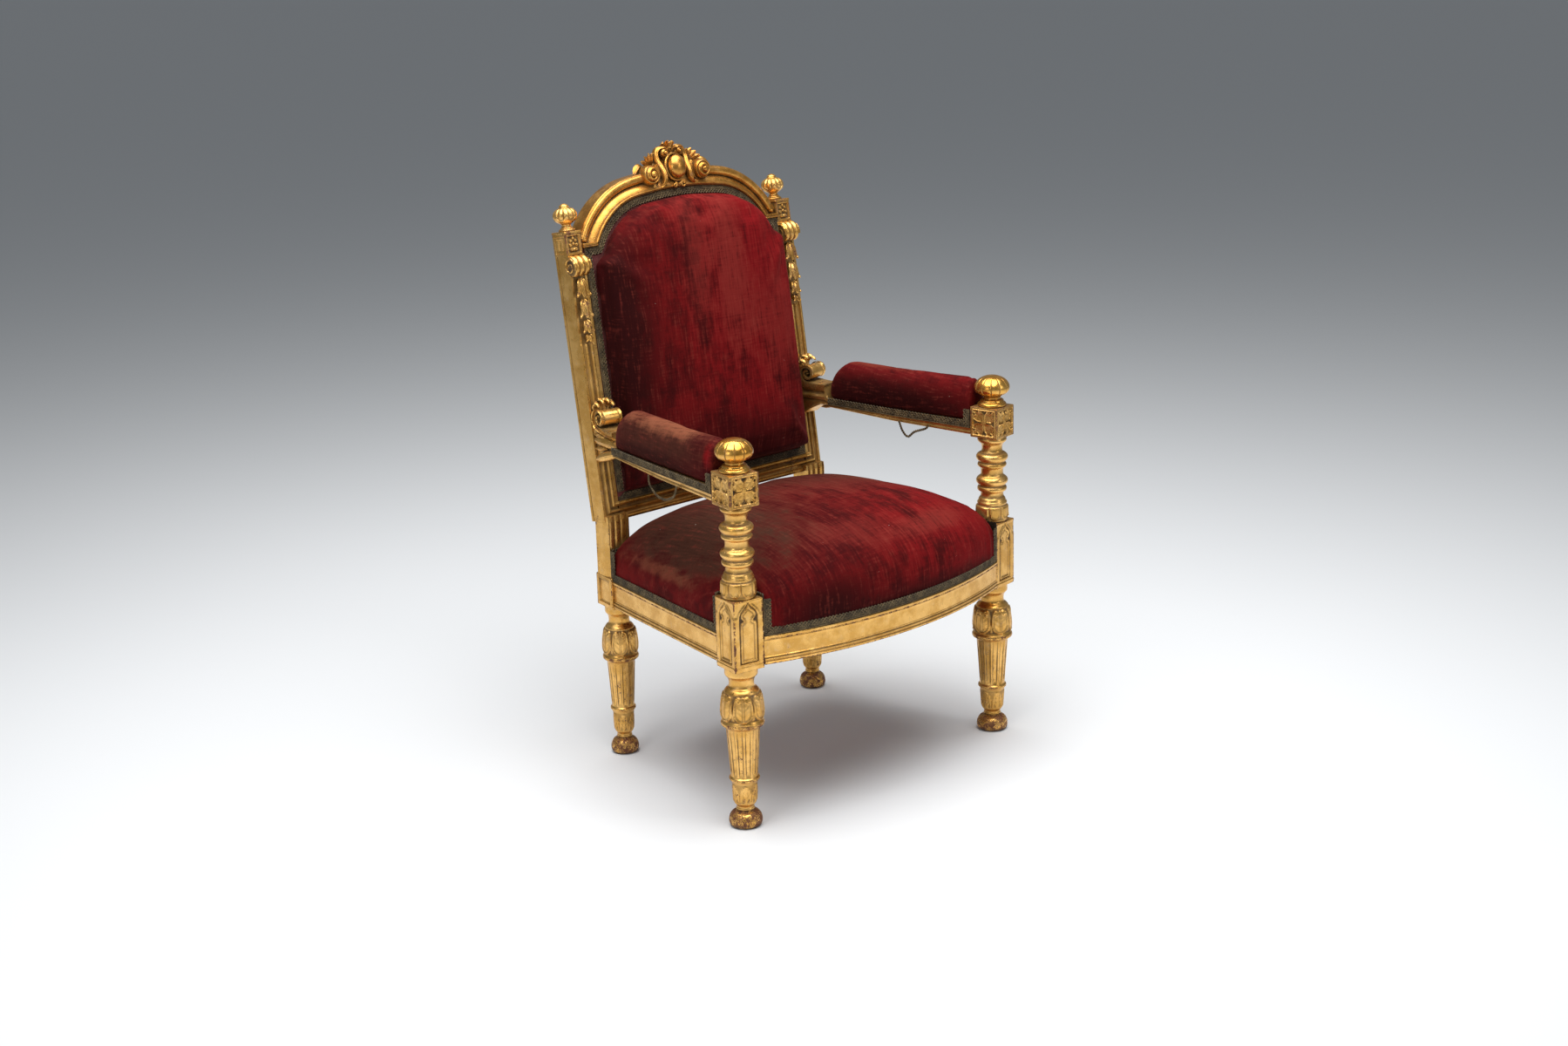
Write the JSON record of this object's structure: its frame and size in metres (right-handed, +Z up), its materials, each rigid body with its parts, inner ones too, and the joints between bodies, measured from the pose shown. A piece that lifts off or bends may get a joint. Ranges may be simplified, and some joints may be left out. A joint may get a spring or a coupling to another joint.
{
  "type": "throne armchair",
  "caption": "Carved and gilded throne armchair with turned posts, a raked arched back with a carved crest, and worn velvet padding edged with braid.",
  "frame": {"origin": "on the floor, under the middle of the whole chair", "axes": "+Z up; the sitter faces -Y; +X runs across, to the right of someone who looks at the chair's front"},
  "size_m": [0.6964, 0.6164, 1.0909],
  "materials": {
    "gilt_wood": "gilded, worn at the edges down to red-brown ground",
    "burnished_gilt": "burnished gilding, browner in the hollows",
    "velvet": "crimson velvet, rubbed and faded",
    "braid": "tarnished metal-thread braid"
  },
  "bodies": {
    "root": {"front_post_left": "gilt_wood", "front_post_right": "gilt_wood", "arm_finial_left": "burnished_gilt", "arm_finial_right": "burnished_gilt", "rear_post_left": "gilt_wood", "rear_post_right": "gilt_wood", "back_finial_left": "gilt_wood", "back_finial_right": "gilt_wood", "front_rail": "gilt_wood", "side_rail_left": "gilt_wood", "side_rail_right": "gilt_wood", "rear_rail": "gilt_wood", "back_top_rail": "gilt_wood", "crest": "gilt_wood", "back_lower_rail": "gilt_wood", "arm_left": "gilt_wood", "arm_right": "gilt_wood", "arm_pad_left": "velvet", "arm_pad_right": "velvet", "seat_pad": "velvet", "back_pad": "velvet", "seat_gimp": "braid", "back_gimp": "braid", "arm_gimp_outer_left": "braid", "arm_gimp_outer_right": "braid", "arm_gimp_inner_left": "braid", "arm_gimp_inner_right": "braid", "loose_gimp_left": "braid", "loose_gimp_right": "braid"}
  },
  "joints": []
}
